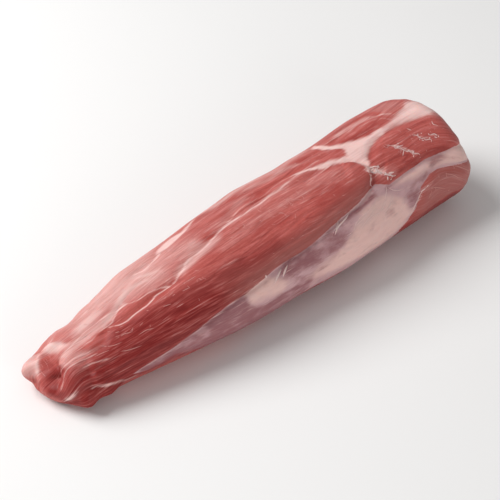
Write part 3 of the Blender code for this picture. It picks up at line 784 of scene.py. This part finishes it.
def noise_values(places, sizes):
    """Smooth noise between -1 and 1 at places that are first divided by the given sizes."""
    return np.array([noise.noise(Vector(place)) for place in places / np.array(sizes)])


def fibre_relief(fibres, bundle_height, lump_height):
    """Height of the muscle bundles and broad lumps at each point."""
    bundles = noise_values(fibres, BUNDLE_SIZE)
    lumps = noise_values(fibres + LUMPS_APART, LUMP_SIZE)
    return bundle_height * bundles + lump_height * lumps


def places_on_sphere(mesh):
    """Reach and around of each point of a unit sphere whose poles are on Z."""
    points = np.array([vertex.co for vertex in mesh.verts])
    share = 1.0 - np.arccos(np.clip(points[:, 2], -1.0, 1.0)) / np.pi
    share -= FINER_AT_ENDS * np.sin(2.0 * np.pi * share) / (2.0 * np.pi)
    angle = np.arctan2(points[:, 1], points[:, 0])
    angle -= FINER_ABOUT * np.sin(angle - FINEST_AROUND)
    return share * REACHES[-1], np.degrees(angle)


def order_faces(mesh):
    """Put the faces in one fixed order, by the lowest three numbers of their vertices.

    The sphere's faces come in another order each run. Where two faces of the skin are equally near,
    a thread settles on the first, so without this it would lie up to 0.06 mm elsewhere each time."""
    mesh.verts.index_update()
    count = len(mesh.verts)

    def rank(face):
        first, second, third = sorted(vertex.index for vertex in face.verts)[:3]
        return float((first * count + second) * count + third)

    mesh.faces.sort(key=rank)
    mesh.faces.index_update()


def move_vertices(mesh, points):
    """Put the mesh's vertices at points given in millimetres."""
    for vertex, point in zip(mesh.verts, points * MM):
        vertex.co = point
    mesh.normal_update()


def inside_outline(reach, around, outline):
    """Whether each place lies inside a closed outline, by counting the edges that it passes."""
    middle = np.mean([place[1] for place in outline])
    turned = (around - middle + 180.0) % 360.0 - 180.0 + middle
    inside = np.zeros(len(reach), bool)
    for (reach_a, around_a), (reach_b, around_b) in zip(outline, outline[1:] + outline[:1]):
        if around_a == around_b:
            continue
        crosses = (around_a > turned) != (around_b > turned)
        crossing = reach_a + (turned - around_a) * (reach_b - reach_a) / (around_b - around_a)
        inside ^= crosses & (reach < crossing)
    return inside


def paint_mark(mark, points, normals, reach, around):
    """How strongly one patch or streak covers each point, from 0 to 1."""
    if isinstance(mark, Streak):
        line = plain_form(*smooth_route(mark.route))
        margin = FADED_AT * mark.width
        distance, _, from_end = nearest_on_line(points, normals, line, margin)
        fullness = STREAK_AT_ITS_ENDS + (1.0 - STREAK_AT_ITS_ENDS) * smooth_step(from_end, 0.0, margin)
        return mark.strength * fullness * np.exp(-((distance / mark.width) ** 2))
    line = plain_form(*np.array(mark.outline + mark.outline[:1], float).T)
    margin = FADED_AT * mark.softness
    distance, _, _ = nearest_on_line(points, normals, line, margin)
    known = np.minimum(distance, margin)
    depth = np.where(inside_outline(reach, around, mark.outline), known, -known)
    return mark.strength * smooth_step(depth, -mark.softness, mark.softness)


def painted(kind, points, normals, reach, around):
    """How strongly all the marks of one kind cover each point together."""
    bare = np.ones(len(points))
    for mark in PAINT[kind]:
        bare *= 1.0 - paint_mark(mark, points, normals, reach, around)
    return 1.0 - bare


def add_attribute(data, name, values):
    """Keep one number, or three, for each vertex of a finished mesh."""
    kind, field = ("FLOAT", "value") if values.ndim == 1 else ("FLOAT_VECTOR", "vector")
    attribute = data.attributes.new(name, kind, "POINT")
    attribute.data.foreach_set(field, values.astype(np.float32).ravel())


def add_piece(name, mesh, material):
    """Turn a bmesh into a smooth piece that rides on the meat's one body."""
    data = bpy.data.meshes.new(name)
    mesh.to_mesh(data)
    mesh.free()
    data.shade_smooth()
    data.materials.append(material)
    piece = bpy.data.objects.new(name, data)
    bpy.context.scene.collection.objects.link(piece)
    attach(piece, "root")
    return piece


def linear(hex_colour):
    """Linear red, green, blue and full opacity of an sRGB hex colour."""
    shares = [int(hex_colour[place:place + 2], 16) / 255.0 for place in (0, 2, 4)]
    return tuple(share / 12.92 if share <= 0.04045 else ((share + 0.055) / 1.055) ** 2.4
                 for share in shares) + (1.0,)


def fill_inputs(tree, node, inputs):
    """Set a node's inputs to values, or link them to sockets.

    A node that is given as an input stands for the first of its outputs in use."""
    for name, value in inputs.items():
        if isinstance(value, bpy.types.Node):
            value = next(socket for socket in value.outputs if socket.enabled)
        if isinstance(value, bpy.types.NodeSocket):
            tree.links.new(value, node.inputs[name])
        else:
            node.inputs[name].default_value = value


def add_node(tree, kind, settings, inputs):
    """Add a shader node, make its settings, and set or link its inputs."""
    node = tree.nodes.new(kind)
    for name, value in settings.items():
        setattr(node, name, value)
    fill_inputs(tree, node, inputs)
    return node


# Places of a Mix node's factor, two numbers and two colours among its inputs
FACTOR, FIRST, SECOND, UNDER, OVER = 0, 2, 3, 6, 7


def new_material(name):
    """A new material and its node tree, with the shader and output that it starts with."""
    material = bpy.data.materials.new(name)
    material.use_nodes = True
    return material, material.node_tree, material.node_tree.nodes["Principled BSDF"]


def strands(tree, grain, pattern):
    """The strands of a pattern along the fibres."""
    size = (pattern.length, pattern.width, pattern.width)
    scaled = add_node(tree, "ShaderNodeVectorMath", {"operation": "DIVIDE"}, {0: grain, 1: size})
    return add_node(tree, "ShaderNodeTexNoise", {"noise_dimensions": "4D"},
                    {"Vector": scaled, "W": pattern.seed, "Scale": 1.0, "Detail": pattern.detail,
                     "Roughness": 0.6})


def lay_over(tree, under, over, amount, low, high, most=1.0):
    """One colour laid over another, from bare to the most as the amount goes from low to high."""
    share = add_node(tree, "ShaderNodeMapRange", {"interpolation_type": "SMOOTHSTEP"},
                     {"Value": amount, "From Min": low, "From Max": high, "To Max": most})
    return add_node(tree, "ShaderNodeMix", {"data_type": "RGBA"}, {FACTOR: share, UNDER: under, OVER: over})


def lay_over_painted(tree, under, over, kind, pattern, spread, low, high):
    """A colour laid over where a kind is painted, whose edge and cover a pattern breaks by the spread."""
    cover = add_node(tree, "ShaderNodeAttribute", {"attribute_name": kind}, {}).outputs["Fac"]
    even = add_node(tree, "ShaderNodeMath", {"operation": "SUBTRACT"}, {0: pattern, 1: 0.5})
    broken = add_node(tree, "ShaderNodeMath", {"operation": "MULTIPLY_ADD"}, {0: even, 1: spread, 2: cover})
    return lay_over(tree, under, over, broken, low, high)


def meat_material(colours):
    """Raw pork: moist, slightly see-through muscle whose fibres show as fine streaks, with
    the smoother, paler silverskin and the soft white of seam fat painted over it."""
    material, tree, shader = new_material("raw_pork_muscle")
    grain = add_node(tree, "ShaderNodeAttribute", {"attribute_name": "grain"}, {}).outputs["Vector"]
    place = add_node(tree, "ShaderNodeTexCoord", {}, {}).outputs["Object"]

    # Fibres wander a little from the straight
    waves = add_node(tree, "ShaderNodeTexNoise", {},
                     {"Vector": place, "Scale": 1.0 / (WAVE_SIZE * MM), "Detail": 1.0})
    wavy = add_node(tree, "ShaderNodeVectorMath", {"operation": "MULTIPLY_ADD"},
                    {0: waves.outputs["Color"], 1: WANDER, 2: grain})
    bundles = strands(tree, wavy, BUNDLES)
    fibres = strands(tree, wavy, FIBRES)
    blotches = strands(tree, wavy, BLOTCHES)
    clouds = strands(tree, wavy, CLOUDS)
    specks = add_node(tree, "ShaderNodeTexNoise", {},
                      {"Vector": place, "Scale": 1.0 / (SPECK_SIZE * MM), "Detail": 3.0})
    # Where a pattern passes its middle value lies a thin line, which makes a crease between bundles
    creases = add_node(tree, "ShaderNodeMath", {"operation": "PINGPONG"},
                       {0: strands(tree, wavy, CREASES), 1: 0.5})
    streaks = add_node(tree, "ShaderNodeMix", {}, {FACTOR: 0.55, FIRST: bundles, SECOND: fibres})

    # Plain muscle is streaked with paler fibres, blotched with deeper red and veiled with thin film,
    # and the dark muscle of the painted shade is streaked with deeper red
    muscle = lay_over(tree, colours.muscle, colours.pale_muscle, streaks, 0.40, 0.62, most=0.85)
    muscle = lay_over(tree, muscle, colours.deep_muscle, blotches, 0.50, 0.66, most=0.5)
    muscle = lay_over(tree, muscle, colours.film, fibres, 0.62, 0.80, most=0.15)
    dark = lay_over(tree, colours.dark_muscle_and_shade, colours.deep_muscle, streaks, 0.40, 0.62)

    # Painted shade, creases darkened as painted shade, dark specks, dull muscle, and pale film with painted
    # highlights lie over it
    colour = lay_over_painted(tree, muscle, dark, "shade", streaks, 0.9, 0.05, 0.9)
    colour = lay_over(tree, colour, colours.dark_muscle_and_shade, creases, 0.47, 0.498, most=0.35)
    colour = lay_over(tree, colour, colours.dark_muscle_and_shade, specks, 0.48, 0.68, most=0.16)
    colour = lay_over_painted(tree, colour, colours.dull_muscle, "dull", streaks, 0.6, 0.0, 1.0)
    colour = lay_over_painted(tree, colour, colours.film, "haze_and_highlight", streaks, 0.8, 0.05, 1.0)

    # Silverskin is clouded with thinner places, painted creamy, thin or red, and finely streaked
    skin = lay_over(tree, colours.silverskin, colours.thin_silverskin, clouds, 0.46, 0.72, most=0.6)
    skin = lay_over_painted(tree, skin, colours.cream, "cream", clouds, 1.7, 0.0, 1.0)
    skin = lay_over_painted(tree, skin, colours.thin_silverskin, "dark film", clouds, 1.7, 0.0, 1.0)
    skin = lay_over_painted(tree, skin, dark, "red film", clouds, 1.0, 0.2, 0.8)
    skin = lay_over(tree, skin, colours.fat, fibres, 0.55, 0.80, most=0.25)
    colour = lay_over_painted(tree, colour, skin, "silverskin", fibres, 0.6, 0.3, 0.7)

    # Seam fat and fine pale lines come last
    colour = lay_over_painted(tree, colour, colours.fat, "fat", streaks, 1.6, 0.0, 1.0)
    colour = lay_over_painted(tree, colour, colours.fat, "line", streaks, 2.2, 0.15, 1.1)

    # Fine strands stand up and creases are sunk, and the strands are a little duller than the rest
    relief = add_node(tree, "ShaderNodeMath", {"operation": "MULTIPLY_ADD"},
                      {0: creases, 1: -0.6, 2: streaks})
    bump = add_node(tree, "ShaderNodeBump", {},
                    {"Strength": 0.7, "Distance": 0.35 * MM, "Height": relief})
    sheen = add_node(tree, "ShaderNodeMapRange", {},
                     {"Value": streaks, "From Min": 0.35, "From Max": 0.65, "To Min": 0.42, "To Max": 0.56})
    fill_inputs(tree, shader, {
        "Base Color": colour, "Normal": bump, "Roughness": sheen, "IOR": 1.38, "Specular IOR Level": 0.28,
        "Subsurface Weight": 0.2, "Subsurface Radius": (1.0, 0.35, 0.25), "Subsurface Scale": 1.5 * MM,
        "Coat Weight": 0.05, "Coat Roughness": 0.3})
    return material


def thread_material(name, colour):
    """Threads of fat or torn film: soft, waxy and paler than the muscle under them."""
    material, tree, shader = new_material(name)
    fill_inputs(tree, shader, {
        "Base Color": colour, "Roughness": 0.6, "Specular IOR Level": 0.15,
        "Subsurface Weight": 0.3, "Subsurface Radius": (1.0, 0.6, 0.5), "Subsurface Scale": 1.5 * MM})
    return material


def floor_material(colour):
    """Matt white board: a plain pale ground with next to no gloss, so only the soft shadow shows."""
    material, tree, shader = new_material("matt_white_floor")
    fill_inputs(tree, shader, {"Base Color": colour, "Roughness": 0.9})
    return material


def thread_shape(mesh):
    """A small upright prism with all of a thread's rings, to be copied and bent into every thread."""
    bmesh.ops.create_cone(mesh, cap_ends=True, segments=THREAD_SIDES, radius1=1.0, radius2=1.0, depth=1.0)
    upright = [edge for edge in mesh.edges if abs(edge.verts[0].co.z - edge.verts[1].co.z) > 0.5]
    bmesh.ops.subdivide_edges(mesh, edges=upright, cuts=THREAD_RINGS - 2)
    return list(mesh.verts), [*mesh.verts, *mesh.edges, *mesh.faces]


def lay_thread(mesh, shape, skin, route, width):
    """Copy the prism and bend it into a flat thread that tapers to both ends along a route."""
    verts, geometry = shape
    copies = bmesh.ops.duplicate(mesh, geom=geometry)["vert_map"]
    reach, around = smooth_route(route)
    share = np.linspace(0.0, 1.0, THREAD_RINGS)
    known = np.linspace(0.0, 1.0, len(reach))
    places = in_frame(plain_form(np.interp(share, known, reach), np.interp(share, known, around)))
    spots = [skin.find_nearest(Vector(place) * MM)[:2] for place in places]
    for vert in verts:
        ring = round((vert.co.z + 0.5) * (THREAD_RINGS - 1))
        spot, normal = spots[ring]
        run = spots[min(ring + 1, THREAD_RINGS - 1)][0] - spots[max(ring - 1, 0)][0]
        side = normal.cross(run).normalized()
        swell = math.sin(math.pi * share[ring]) ** THREAD_WIDENING
        half = 0.5 * width * MM * (THREAD_WIDTH_AT_ENDS + (1.0 - THREAD_WIDTH_AT_ENDS) * swell)
        height = THREAD_THICKNESS * vert.co.y - THREAD_SUNK
        copies[vert].co = spot + half * (vert.co.x * side + height * normal)


def tuft_threads(tuft, widths, draws):
    """The short, curled threads of one tuft, which start about its middle and go every way."""
    threads = []
    for _ in range(tuft.count):
        reach = draws.gauss(tuft.reach, tuft.spread)
        around = tuft.around + math.degrees(draws.gauss(0.0, tuft.spread) / MEAN_RADIUS)
        turn = draws.uniform(0.0, 2.0 * math.pi)
        step = tuft.length * draws.uniform(*TUFT_STEP_SHARES)
        route = [(reach, around)]
        for _ in range(TUFT_STEPS):
            reach += step * math.cos(turn)
            around += math.degrees(step * math.sin(turn) / MEAN_RADIUS)
            turn += draws.gauss(0.0, TUFT_BEND)
            route.append((reach, around))
        threads.append(Threads(draws.uniform(*widths), (tuple(route),)))
    return threads


class MeatSettings(PropertyGroup):
    """How finely the meat is divided, and the height of its fine relief."""

    faces_around: IntProperty(name="Faces around", description="Faces about the length of the meat",
                              default=300, min=24, max=300)
    faces_along: IntProperty(name="Faces along", description="Faces from the tail to the head",
                             default=330, min=24, max=330)
    bundle_height: FloatProperty(name="Bundle height", description="Height of the muscle bundles",
                                 default=0.28 * MM, min=0.0, unit="LENGTH")
    lump_height: FloatProperty(name="Lump height", description="Height of the broad lumps",
                               default=0.5 * MM, min=0.0, unit="LENGTH")


class MeatColours(PropertyGroup):
    """Colours of the meat, its silverskin and its fat."""

    pale_muscle: FloatVectorProperty(name="Pale muscle", description="Lightest pinkish red of the muscle",
                                     default=linear("C86862"), size=4, subtype="COLOR")
    muscle: FloatVectorProperty(name="Muscle", description="Middle red of the muscle",
                                default=linear("B5564F"), size=4, subtype="COLOR")
    deep_muscle: FloatVectorProperty(name="Deep muscle", description="Lighter red of the shaded muscle",
                                     default=linear("A4403B"), size=4, subtype="COLOR")
    # This red is the painted shade on the muscle and in its creases, and also the dark specks
    dark_muscle_and_shade: FloatVectorProperty(name="Dark muscle",
                                     description="Darkest red, in creases and on the lobe",
                                     default=linear("7A1B1A"), size=4, subtype="COLOR")
    dull_muscle: FloatVectorProperty(name="Dull muscle", description="Brownish red above the silverskin",
                                     default=linear("A4615B"), size=4, subtype="COLOR")
    film: FloatVectorProperty(name="Film", description="Pale film that lies over the muscle",
                              default=linear("E0B4AE"), size=4, subtype="COLOR")
    silverskin: FloatVectorProperty(name="Silverskin", description="Greyish pink of the silverskin",
                                    default=linear("CCA2A4"), size=4, subtype="COLOR")
    thin_silverskin: FloatVectorProperty(name="Thin silverskin",
                                         description="Silverskin with the dark muscle showing through",
                                         default=linear("9A6468"), size=4, subtype="COLOR")
    cream: FloatVectorProperty(name="Cream", description="Thick, creamy part of the silverskin",
                               default=linear("E8BFB7"), size=4, subtype="COLOR")
    fat: FloatVectorProperty(name="Fat", description="Seam fat and tendon",
                             default=linear("F2CBC5"), size=4, subtype="COLOR")
    torn_film: FloatVectorProperty(name="Torn film", description="Thin strands of film on the skin",
                                   default=linear("D8968F"), size=4, subtype="COLOR")


class StageSettings(PropertyGroup):
    """Floor, lights and camera."""

    floor_colour: FloatVectorProperty(name="Floor", description="Colour of the plain floor",
                                      default=linear("F4F3F2"), size=4, subtype="COLOR")
    key_power: FloatProperty(name="Key light", description="Power of the large soft key light",
                             default=15.0, min=0.0, unit="POWER")
    fill_power: FloatProperty(name="Fill light", description="Power of the weak light from the near side",
                              default=5.0, min=0.0, unit="POWER")
    sky_strength: FloatProperty(name="Soft light", description="Strength of the soft light from all around",
                                default=0.32, min=0.0)
    azimuth: FloatProperty(name="Camera azimuth", description="Turn of the camera from the near side",
                           default=math.radians(-41.7), subtype="ANGLE")
    elevation: FloatProperty(name="Camera elevation", description="Angle of the camera over the floor",
                             default=math.radians(40.0), subtype="ANGLE")
    distance: FloatProperty(name="Camera distance", description="Distance from the camera to the meat",
                            default=0.8355, min=0.1, unit="LENGTH")
    lens: FloatProperty(name="Lens", description="Focal length of the camera in millimetres",
                        default=120.0, min=10.0, unit="CAMERA")


class TENDERLOIN_OT_meat(Operator):
    """Build the whole piece of meat with its seams, lobes, fibres and painted skin"""

    bl_idname = "tenderloin.meat"
    bl_label = "Meat"

    def execute(self, context):
        settings = context.scene.tenderloin_meat
        mesh = bmesh.new()
        bmesh.ops.create_uvsphere(mesh, u_segments=settings.faces_around, v_segments=settings.faces_along,
                                  radius=1.0)
        order_faces(mesh)
        reach, around = places_on_sphere(mesh)
        plain = plain_form(reach, around)
        move_vertices(mesh, plain)
        bmesh.ops.recalc_face_normals(mesh, faces=mesh.faces)
        normals = np.array([vertex.normal for vertex in mesh.verts])
        fibres = fibre_places(reach, around)
        relief = seam_relief(SEAMS, plain, normals) + swelling_relief(SWELLINGS, plain)
        relief += seam_relief(FINE_SEAMS, plain, normals) + swelling_relief(HOLLOWS, plain)
        relief += fibre_relief(fibres, settings.bundle_height / MM, settings.lump_height / MM)
        relief *= smooth_step(plain[:, 2], RELIEF_STARTS, RELIEF_IS_FULL)
        points = plain + relief[:, None] * normals
        points[:, 2] = np.maximum(points[:, 2], 0.0)
        move_vertices(mesh, in_frame(points))
        piece = add_piece("tenderloin_meat", mesh, meat_material(context.scene.tenderloin_colours))
        add_attribute(piece.data, "grain", fibres)
        for kind in PAINT:
            add_attribute(piece.data, kind, painted(kind, plain, normals, reach, around))
        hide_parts("tenderloin")
        return {"FINISHED"}


def add_threads(name, groups, skin, material):
    """One piece with every thread of the groups laid on the skin."""
    mesh = bmesh.new()
    shape = thread_shape(mesh)
    for width, routes in groups:
        for route in routes:
            lay_thread(mesh, shape, skin, route, width)
    bmesh.ops.delete(mesh, geom=shape[0], context="VERTS")
    bmesh.ops.recalc_face_normals(mesh, faces=mesh.faces)
    add_piece(name, mesh, material)


class TENDERLOIN_OT_threads(Operator):
    """Lay the threads and tags of fat and torn silverskin on the meat"""

    bl_idname = "tenderloin.threads"
    bl_label = "Threads"

    def execute(self, context):
        colours = context.scene.tenderloin_colours
        whole = bmesh.new()
        whole.from_mesh(bpy.data.objects["tenderloin_meat"].data)
        skin = BVHTree.FromBMesh(whole)
        whole.free()
        fat = thread_material("seam_fat", colours.fat)
        film = thread_material("torn_film", colours.torn_film)
        draws = random.Random(TUFT_SEED)
        for name, material, groups, tufts, widths in (
            ("fat_threads", fat, FAT_THREADS, FAT_TUFTS, FAT_TUFT_WIDTHS),
            ("film_threads", film, FILM_THREADS, FILM_TUFTS, FILM_TUFT_WIDTHS),
        ):
            curled = [threads for tuft in tufts for threads in tuft_threads(tuft, widths, draws)]
            add_threads(name, [*groups.values(), *curled], skin, material)
        return {"FINISHED"}


def aim(thing, target):
    """Turn a light or camera so that it looks at a point."""
    thing.rotation_euler = (Vector(target) - thing.location).to_track_quat("-Z", "Y").to_euler()


def spherical(azimuth, elevation, distance):
    """A point at a distance, turned from the near side (-Y) and raised over the floor."""
    return Vector((math.sin(azimuth) * math.cos(elevation), -math.cos(azimuth) * math.cos(elevation),
                   math.sin(elevation))) * distance


class TENDERLOIN_OT_stage(Operator):
    """Add the floor, the soft studio light and the camera"""

    bl_idname = "tenderloin.stage"
    bl_label = "Stage"

    def execute(self, context):
        settings = context.scene.tenderloin_stage
        scene = context.scene
        mesh = bmesh.new()
        bmesh.ops.create_grid(mesh, x_segments=1, y_segments=1, size=FLOOR_REACH)
        data = bpy.data.meshes.new("floor")
        mesh.to_mesh(data)
        mesh.free()
        data.materials.append(floor_material(settings.floor_colour))
        floor = bpy.data.objects.new("floor", data)
        scene.collection.objects.link(floor)

        world = bpy.data.worlds.new("studio")
        world.use_nodes = True
        background = world.node_tree.nodes["Background"]
        background.inputs["Color"].default_value = (1.0, 1.0, 1.0, 1.0)
        background.inputs["Strength"].default_value = settings.sky_strength
        scene.world = world

        for lamp, power in ((KEY_LIGHT, settings.key_power), (FILL_LIGHT, settings.fill_power)):
            light = bpy.data.lights.new(lamp.name, "AREA")
            light.shape = "DISK"
            light.size = lamp.size
            light.energy = power
            holder = bpy.data.objects.new(lamp.name, light)
            holder.location = Vector(TARGET) + spherical(
                math.radians(lamp.azimuth), math.radians(lamp.elevation), lamp.distance)
            aim(holder, TARGET)
            scene.collection.objects.link(holder)

        view = bpy.data.cameras.new("camera")
        view.lens = settings.lens
        camera = bpy.data.objects.new("camera", view)
        camera.location = Vector(TARGET) + spherical(
            settings.azimuth, settings.elevation, settings.distance)
        aim(camera, TARGET)
        scene.collection.objects.link(camera)
        scene.camera = camera
        scene.view_settings.view_transform = "Standard"
        return {"FINISHED"}


class TENDERLOIN_PT_panel(Panel):
    """Sizes, colours and stage of the tenderloin"""

    bl_idname = "TENDERLOIN_PT_panel"
    bl_label = "Tenderloin"
    bl_space_type = "VIEW_3D"
    bl_region_type = "UI"
    bl_category = "Tenderloin"

    def draw(self, context):
        scene = context.scene
        for group, operator in (
            (scene.tenderloin_meat, "tenderloin.meat"),
            (scene.tenderloin_colours, "tenderloin.threads"),
            (scene.tenderloin_stage, "tenderloin.stage"),
        ):
            for name in group.__annotations__:
                self.layout.prop(group, name)
            self.layout.operator(operator)


CLASSES = (MeatSettings, MeatColours, StageSettings, TENDERLOIN_OT_meat, TENDERLOIN_OT_threads,
           TENDERLOIN_OT_stage, TENDERLOIN_PT_panel)


def register():
    """Add the settings, operators and panel to Blender."""
    for cls in CLASSES:
        bpy.utils.register_class(cls)
    bpy.types.Scene.tenderloin_meat = PointerProperty(type=MeatSettings)
    bpy.types.Scene.tenderloin_colours = PointerProperty(type=MeatColours)
    bpy.types.Scene.tenderloin_stage = PointerProperty(type=StageSettings)


def unregister():
    """Take the settings, operators and panel away again."""
    del bpy.types.Scene.tenderloin_stage
    del bpy.types.Scene.tenderloin_colours
    del bpy.types.Scene.tenderloin_meat
    for cls in reversed(CLASSES):
        bpy.utils.unregister_class(cls)


def main():
    """Build the meat, its threads and the stage."""
    register()
    bpy.ops.tenderloin.meat()
    bpy.ops.tenderloin.threads()
    bpy.ops.tenderloin.stage()


if __name__ == "__main__":
    main()
